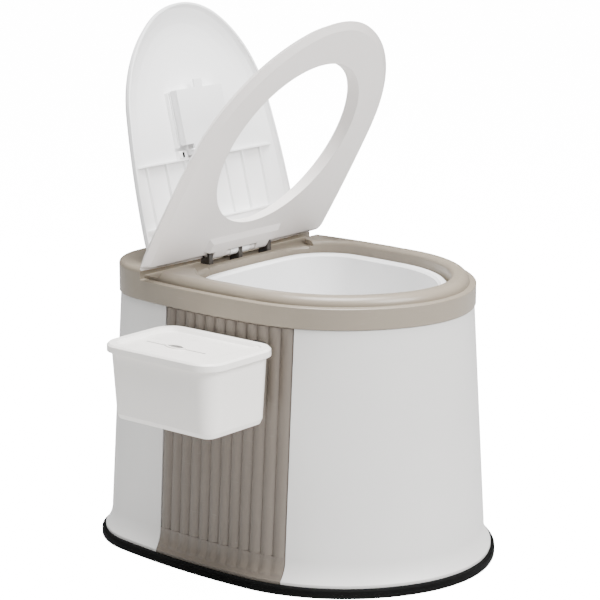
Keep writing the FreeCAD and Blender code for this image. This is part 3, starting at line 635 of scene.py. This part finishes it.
def thicken(piece: bpy.types.Object, way: float, depth: float, levels: int) -> None:
    """Round a sheet by subdivision and give it a thickness inward.

    Args:
        piece: the sheet, in edit mode.
        way: the side that it faces, along X.
        depth: its thickness.
        levels: how often it is subdivided.
    """
    bpy.ops.mesh.select_all(action="SELECT")
    bpy.ops.mesh.normals_make_consistent(inside=False)
    bpy.ops.object.mode_set(mode="OBJECT")
    if sum(face.normal.x for face in piece.data.polygons) * way < 0.0:
        bpy.ops.object.mode_set(mode="EDIT")
        bpy.ops.mesh.flip_normals()
        bpy.ops.object.mode_set(mode="OBJECT")
    smooth = piece.modifiers.new("smooth", "SUBSURF")
    smooth.levels = smooth.render_levels = levels
    apply_step(piece, smooth)
    solid = piece.modifiers.new("solid", "SOLIDIFY")
    solid.thickness = depth
    solid.offset = -1.0
    apply_step(piece, solid)


def close_piece(piece: bpy.types.Object, materials: Sequence[bpy.types.Material]) -> None:
    """Turn a piece's normals outward, smooth it and give it its materials.

    Args:
        piece: the piece.
        materials: its finishes, the main one first.
    """
    pick_faces(piece, lambda centre, normal: True)
    bpy.ops.mesh.normals_make_consistent(inside=False)
    bpy.ops.object.mode_set(mode="OBJECT")
    bpy.ops.object.shade_smooth_by_angle(angle=SMOOTH_ANGLE)
    for material in materials:
        piece.data.materials.append(material)


def copy_piece(piece: bpy.types.Object, name: str, shift: Point) -> bpy.types.Object:
    """Copy a repeated piece, with a mesh of its own.

    Args:
        piece: the piece.
        name: the copy's name.
        shift: how far the copy stands from it.

    Returns:
        The copy.
    """
    other = piece.copy()
    other.data = piece.data.copy()
    other.name = other.data.name = name
    bpy.context.scene.collection.objects.link(other)
    other.location = shift
    apply_place(other)
    return other


def hand_over(piece: bpy.types.Object, body: str) -> None:
    """Say which body carries a piece.

    Args:
        piece: the piece.
        body: the body's name.
    """
    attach(piece, body)
    LOG.info("made %s on %s", piece.name, body)


@dataclass
class SubAssembly:
    """A group of CAD nodes that are dressed and detailed together."""

    groups: ShaderGroups

    def dress(self, finish: Finish, nodes: Sequence[str]) -> bpy.types.Material:
        """Dress several CAD nodes in one finish.

        Args:
            finish: the finish.
            nodes: the nodes' names.

        Returns:
            The material made.
        """
        material = finish.build(self.groups)
        for node in nodes:
            dress_node(node, material)
        return material


@dataclass
class Stand(SubAssembly):
    """The panels, the base plate and the foot trim."""

    white_panels: tuple[str, ...] = ("front_panel", "rear_panel")
    fluted_panels: tuple[str, ...] = ("side_panel_left", "side_panel_right")
    reed_count: int = 12
    reed_rows: int = 10
    reed_span: tuple[float, float] = (-87.7 * MM, 74.2 * MM)
    reed_heights: tuple[float, float] = (14.6 * MM, 35.9 * MM)
    reed_rise: float = 1.3 * MM
    # Subdivision flattens the crests, so their points move further than the rise.
    rise_factor: float = 1.5
    crest_band: tuple[float, float] = (0.3, 0.7)
    plain_foot: float = 2.6 * MM
    top_row: float = 0.2 * MM
    top_overlap: float = 0.4 * MM
    sheet_start: float = 250.0 * MM
    sheet_depth: float = 1.0 * MM
    sheet_levels: int = 2

    def build(self) -> None:
        """Dress the stand and carry the reeds of its sides down over the flared hem."""
        self.dress(PANEL_WHITE, self.white_panels)
        taupe = self.dress(FLUTE_TAUPE, self.fluted_panels)
        for panel in self.fluted_panels:
            self.add_reed_ends(panel, taupe)
        self.dress(TRIM_BLACK, ("foot_trim",))
        self.dress(BASE_GREY, ("base_plate",))

    def add_reed_ends(self, panel: str, material: bpy.types.Material) -> None:
        """Add the lower ends of the reeds of one side panel, which lie on its flared hem.

        Args:
            panel: the side panel's node.
            material: the reeds' finish.
        """
        low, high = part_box(panel)
        way = -1.0 if low[0] + high[0] < 0.0 else 1.0
        front, rear = self.reed_span
        bottom, top = self.reed_heights
        bpy.ops.object.select_all(action="DESELECT")
        bpy.ops.mesh.primitive_grid_add(
            x_subdivisions=self.reed_rows, y_subdivisions=2 * self.reed_count, size=1.0,
            location=(way * self.sheet_start, (front + rear) / 2, (bottom + top) / 2),
            rotation=(0.0, math.radians(90), 0.0),
        )
        piece = bpy.context.object
        piece.name = piece.data.name = panel.replace("side_panel", "reed_ends")
        piece.scale = (top - bottom, rear - front, 1.0)
        apply_place(piece)
        lay_on(piece, frame["nodes"][panel])
        pitch = (rear - front) / self.reed_count

        def on_crest(point: Vector) -> bool:
            """Say whether a point lies on the crest of a reed."""
            return self.crest_band[0] < ((point.y - front) / pitch) % 1.0 < self.crest_band[1]

        pick_points(piece, lambda point: not on_crest(point))
        bpy.ops.transform.edge_crease(value=1.0)
        pick_points(piece, lambda point: point.z > bottom + self.plain_foot and on_crest(point))
        bpy.ops.transform.translate(value=(way * self.reed_rise * self.rise_factor, 0.0, 0.0))
        pick_points(piece, lambda point: point.z > top - self.top_row)
        bpy.ops.transform.translate(value=(0.0, 0.0, self.top_overlap))
        thicken(piece, way, self.sheet_depth, self.sheet_levels)
        close_piece(piece, [material])
        hand_over(piece, "stand")


@dataclass
class Rim(SubAssembly):
    """The rim ring and its hinge hardware."""

    sleeve_span: tuple[float, float] = (15.4 * MM, 23.6 * MM)
    sleeve_radius: float = 5.6 * MM
    sleeve_edge: float = 0.4 * MM
    bore_radius: float = 3.2 * MM

    def build(self) -> None:
        """Dress the rim, the bracket, the pin and the screws."""
        self.dress(RIM_TAUPE, ("rim_ring",))
        # The bracket takes the near-black painted shade of its pocket.
        self.dress(HINGE_SHADE, ("hinge_bracket",))
        self.dress(STEEL, ("hinge_pin", "hinge_screws", "rim_screws", "base_screws"))
        self.add_sleeves(SEAT_WHITE.build(self.groups))

    def add_sleeves(self, material: bpy.types.Material) -> None:
        """Add the two white sleeves on the pin, between the knuckles of lid and seat.

        Args:
            material: the sleeves' finish.
        """
        hinge = Vector(joint("lid_hinge")["pos_m"])
        near, far = self.sleeve_span
        middle = (near + (far - near) / 2, hinge.y, hinge.z)
        sleeve = start_rod("pin_sleeve_left", middle, self.sleeve_radius, far - near)
        pick_faces(sleeve, lambda centre, normal: abs(normal.x) > FACING)
        bpy.ops.mesh.inset(thickness=self.sleeve_radius - self.bore_radius, use_individual=True)
        bpy.ops.mesh.bridge_edge_loops()
        pick_faces(sleeve, lambda centre, normal: abs(normal.x) > FACING)
        bpy.ops.mesh.bevel(offset=self.sleeve_edge, segments=2, affect="EDGES")
        close_piece(sleeve, [material])
        other = copy_piece(sleeve, "pin_sleeve_right", (-(near + far), 0.0, 0.0))
        for piece in (sleeve, other):
            hand_over(piece, "pin")


@dataclass
class Seat(SubAssembly):
    """The seat ring."""

    def build(self) -> None:
        """Dress the seat."""
        self.dress(SEAT_WHITE, ("seat",))


@dataclass(frozen=True)
class Moulding:
    """A small block inside the closed lid.

    The span is across the lid, the reach is away from the hinge line, the depth is out of the
    ceiling, and the edge is the rounding of the face that looks down.
    """

    span: tuple[float, float]
    reach: tuple[float, float]
    depth: float
    edge: float


@dataclass
class Lid(SubAssembly):
    """The lid with its deodoriser holder."""

    ceiling_rise: float = 22.9 * MM
    sink: float = 0.6 * MM
    fin: Moulding = Moulding((-32.8 * MM, -31.2 * MM), (37.2 * MM, 101.8 * MM), 3.0 * MM, 0.35 * MM)
    fin_taper: float = 0.7
    fin_distance: float = 64.0 * MM
    rail: Moulding = Moulding((-40.5 * MM, -36.2 * MM), (116.0 * MM, 176.0 * MM), 4.5 * MM, 0.4 * MM)
    rail_wall: float = 0.9 * MM
    groove_depth: float = 2.0 * MM
    catch: Moulding = Moulding((-40.5 * MM, -27.5 * MM), (104.0 * MM, 112.5 * MM), 5.0 * MM, 0.8 * MM)
    catch_wall: float = 0.6 * MM
    slot_share: float = 0.29
    slot_depth: float = 3.0 * MM
    slot_half: tuple[float, float] = (2.0 * MM, 3.2 * MM)
    slot_margin: float = 0.1 * MM

    def build(self) -> None:
        """Dress the lid and the holder, and add the small mouldings inside the lid."""
        white = self.dress(LID_WHITE, ("lid",))
        self.dress(HOLDER_WHITE, ("deodoriser_holder", "deodoriser_cover"))
        # Near-black painted shade for the inside of the catch's slot.
        slot_shade_material = SLOT_SHADE.build(self.groups)
        self.add_fins(white)
        self.add_rail(white)
        self.add_catch(white, slot_shade_material)

    def start_inside(self, name: str, block: Moulding) -> bpy.types.Object:
        """Start a block under the ceiling of the closed lid.

        Args:
            name: the piece's name.
            block: its sizes and place.

        Returns:
            The block.
        """
        hinge = Vector(joint("lid_hinge")["pos_m"])
        ceiling = hinge.z + self.ceiling_rise
        low = (block.span[0], hinge.y - block.reach[1], ceiling - block.depth)
        high = (block.span[1], hinge.y - block.reach[0], ceiling + self.sink)
        return start_block(name, low, high)

    def open_up(self, piece: bpy.types.Object) -> None:
        """Turn a piece from the closed lid to where the lid rests, and hand it over.

        Args:
            piece: the piece, modelled on the closed lid.
        """
        hinge = Matrix.Translation(Vector(joint("lid_hinge")["pos_m"]))
        angle = joint("lid_hinge")["range_deg"][1] - joint("pin_turn")["range_deg"][0]
        turn = Matrix.Rotation(-math.radians(angle), 4, "X")
        piece.matrix_world = hinge @ turn @ hinge.inverted() @ piece.matrix_world
        apply_place(piece)
        hand_over(piece, "lid")

    def add_fins(self, material: bpy.types.Material) -> None:
        """Add the two thin fins between the cross ribs near the hinge.

        Args:
            material: the fins' finish.
        """
        fin = self.start_inside("lid_fin_right", self.fin)
        pick_faces(fin, lambda centre, normal: normal.z < -FACING)
        bpy.ops.transform.resize(value=(self.fin_taper, 1.0, 1.0))
        bpy.ops.mesh.bevel(offset=self.fin.edge, segments=2, affect="EDGES")
        close_piece(fin, [material])
        other = copy_piece(fin, "lid_fin_left", (self.fin_distance, 0.0, 0.0))
        self.open_up(fin)
        self.open_up(other)

    def add_rail(self, material: bpy.types.Material) -> None:
        """Add the grooved rail beside the holder.

        Args:
            material: the rail's finish.
        """
        rail = self.start_inside("holder_rail", self.rail)
        pick_faces(rail, lambda centre, normal: normal.z < -FACING)
        bpy.ops.mesh.bevel(offset=self.rail.edge, segments=2, affect="EDGES")
        pick_faces(rail, lambda centre, normal: normal.z < -FLAT)
        bpy.ops.mesh.inset(thickness=self.rail_wall)
        bpy.ops.mesh.extrude_region_move(TRANSFORM_OT_translate={"value": (0.0, 0.0, self.groove_depth)})
        close_piece(rail, [material])
        self.open_up(rail)

    def add_catch(self, material: bpy.types.Material, slot_shade_material: bpy.types.Material) -> None:
        """Add the catch block below the holder, with painted shade inside its slot.

        Args:
            material: the block's finish.
            slot_shade_material: the painted shade inside the slot.
        """
        catch = self.start_inside("lid_catch", self.catch)
        pick_faces(catch, lambda centre, normal: normal.z < -FACING)
        bpy.ops.mesh.bevel(offset=self.catch.edge, segments=3, affect="EDGES")
        pick_faces(catch, lambda centre, normal: normal.z < -FLAT)
        bpy.ops.mesh.inset(thickness=self.catch_wall)
        bpy.ops.transform.resize(value=(self.slot_share, 1.0, 1.0))
        bpy.ops.mesh.extrude_region_move(TRANSFORM_OT_translate={"value": (0.0, 0.0, self.slot_depth)})
        close_piece(catch, [material, slot_shade_material])
        hinge = Vector(joint("lid_hinge")["pos_m"])
        mouth = Vector((
            sum(self.catch.span) / 2,
            hinge.y - sum(self.catch.reach) / 2,
            hinge.z + self.ceiling_rise - self.catch.depth,
        ))
        half_width, half_length = self.slot_half
        deepest = self.slot_depth + self.slot_margin
        # The faces inside the slot take the second material, the painted shade.
        for face in catch.data.polygons:
            away = face.center - mouth
            near = abs(away.x) < half_width and abs(away.y) < half_length
            face.material_index = int(near and self.slot_margin < away.z < deepest)
        self.open_up(catch)


@dataclass
class Bucket(SubAssembly):
    """The lift-out bucket."""

    def build(self) -> None:
        """Dress the bucket."""
        self.dress(BUCKET_WHITE, ("bucket",))


@dataclass
class PaperBox(SubAssembly):
    """The paper box and its cover."""

    slit_place: Point = (-0.211, -0.005, 0.2533)
    lens_offset: float = 13.125 * MM
    lens_radii: tuple[float, float] = (19.125 * MM, 17.125 * MM)
    lip_height: float = 1.4 * MM
    lip_edge: float = 0.45 * MM
    hole_height: float = 5.6 * MM

    def build(self) -> None:
        """Dress the box and its cover, and add the lip round the pull-out hole."""
        white = self.dress(BOX_WHITE, ("paper_box", "paper_box_cover"))
        self.add_lip(white)

    def start_lens(self, name: str, radius: float, height: float) -> bpy.types.Object:
        """Start a pointed oval from two discs that cross.

        Args:
            name: the piece's name.
            radius: the discs' radius.
            height: the height above the cover.

        Returns:
            The pointed oval.
        """
        x, y, z = self.slit_place
        z -= (height - self.lip_height) / 2
        left = start_disc(name, (x - self.lens_offset, y, z), radius, height)
        right = start_disc(name + "_cutter", (x + self.lens_offset, y, z), radius, height)
        cut(left, right, "INTERSECT")
        return left

    def add_lip(self, material: bpy.types.Material) -> None:
        """Add the raised lip round the pull-out hole of the cover.

        Args:
            material: the lip's finish.
        """
        lip = self.start_lens("slit_lip", self.lens_radii[0], self.lip_height)
        hole = self.start_lens("slit_lip_hole", self.lens_radii[1], self.hole_height)
        cut(lip, hole, "DIFFERENCE")
        round_edges(lip, self.lip_edge)
        close_piece(lip, [material])
        hand_over(lip, "paper_box_cover")


@dataclass(frozen=True)
class SoftLight:
    """A square light, with its side in metres and its power in watts."""

    name: str
    place: Point
    side: float
    power: float


@dataclass
class Studio:
    """The floor, the lights and the camera."""

    azimuth: float = -50.30
    pitch: float = 13.262
    focal_pixels: float = 2212.32
    frame_pixels: float = 600.0
    distance: float = 2.26499
    height: float = 0.79306
    nudge: tuple[float, float] = (9.22, 2.9)
    sensor_width: float = 36.0
    clip: tuple[float, float] = (0.05, 120.0)
    floor_size: float = 60.0
    floor_level: float = -0.2 * MM
    floor_tones: tuple[Colour, Colour] = ((0.64, 0.64, 0.64), (0.62, 0.62, 0.62))
    floor_roughness: float = 0.7
    floor_glow: float = 24.0
    surround: float = 0.2
    aim: Point = (0.0, 0.0, 0.25)
    lights: tuple[SoftLight, ...] = (
        SoftLight("key_light", (-0.1, -2.2, 2.1), 1.3, 150.0),
        SoftLight("side_light", (-2.4, -1.0, 1.3), 1.0, 3.0),
        SoftLight("top_light", (-0.2, -0.1, 2.6), 1.3, 190.0),
    )

    def build(self) -> None:
        """Make the floor, the lights, the surroundings and the camera."""
        self.build_floor()
        self.build_world()
        for light in self.lights:
            self.add_light(light)
        self.add_camera()

    def build_floor(self) -> None:
        """Make the pale floor, which glows for the camera alone."""
        bpy.ops.object.select_all(action="DESELECT")
        bpy.ops.mesh.primitive_plane_add(size=self.floor_size, location=(0.0, 0.0, self.floor_level))
        floor = bpy.context.object
        floor.name = "floor"
        bpy.ops.object.transform_apply(location=True, rotation=True, scale=True)
        material = bpy.data.materials.new("pale_floor")
        material.use_nodes = True
        tree = material.node_tree
        shader = tree.nodes["Principled BSDF"]
        place = tree.nodes.new("ShaderNodeTexCoord")
        patches = noise_node(tree, place.outputs["Object"], 3.0, 2.0)
        tone = Finish.mix(tree, patches, *self.floor_tones)
        tree.links.new(tone, shader.inputs["Base Color"])
        shader.inputs["Roughness"].default_value = self.floor_roughness
        tree.links.new(tone, shader.inputs["Emission Color"])
        path = tree.nodes.new("ShaderNodeLightPath")
        glow = math_node(tree, "MULTIPLY", path.outputs["Is Camera Ray"], self.floor_glow)
        tree.links.new(glow, shader.inputs["Emission Strength"])
        floor.data.materials.append(material)

    def build_world(self) -> None:
        """Make the even pale surroundings."""
        world = bpy.data.worlds.new("studio")
        world.use_nodes = True
        back = world.node_tree.nodes["Background"]
        back.inputs["Color"].default_value = (1.0, 1.0, 1.0, 1.0)
        back.inputs["Strength"].default_value = self.surround
        bpy.context.scene.world = world

    def add_light(self, light: SoftLight) -> None:
        """Add a soft square light that points at the middle of the object.

        Args:
            light: the light's sizes and place.
        """
        data = bpy.data.lights.new(light.name, "AREA")
        data.shape = "SQUARE"
        data.size = light.side
        data.energy = light.power
        lamp = bpy.data.objects.new(light.name, data)
        lamp.location = light.place
        way = Vector(self.aim) - Vector(light.place)
        lamp.rotation_euler = way.to_track_quat("-Z", "Y").to_euler()
        bpy.context.scene.collection.objects.link(lamp)

    def add_camera(self) -> None:
        """Add the camera at the photograph's angle."""
        turn, tilt = math.radians(self.azimuth), math.radians(self.pitch)
        back = Vector((math.sin(turn), -math.cos(turn), 0.0))
        data = bpy.data.cameras.new("photo_camera")
        data.sensor_width = self.sensor_width
        data.lens = self.focal_pixels / self.frame_pixels * data.sensor_width
        data.shift_x = -self.nudge[0] / self.frame_pixels
        data.shift_y = self.nudge[1] / self.frame_pixels
        data.clip_start, data.clip_end = self.clip
        camera = bpy.data.objects.new("photo_camera", data)
        camera.location = back * self.distance + Vector((0.0, 0.0, self.height))
        view = back * -math.cos(tilt) + Vector((0.0, 0.0, -math.sin(tilt)))
        camera.rotation_euler = view.to_track_quat("-Z", "Y").to_euler()
        bpy.context.scene.collection.objects.link(camera)
        bpy.context.scene.camera = camera


def main() -> None:
    """Build the sub-assemblies in order."""
    logging.basicConfig(level=logging.INFO, format="%(message)s")
    groups = build_groups()
    for kind in (Stand, Rim, Bucket, Seat, Lid, PaperBox):
        kind(groups).build()
        LOG.info("built %s", kind.__name__)
    Studio().build()


if __name__ == "__main__":
    main()
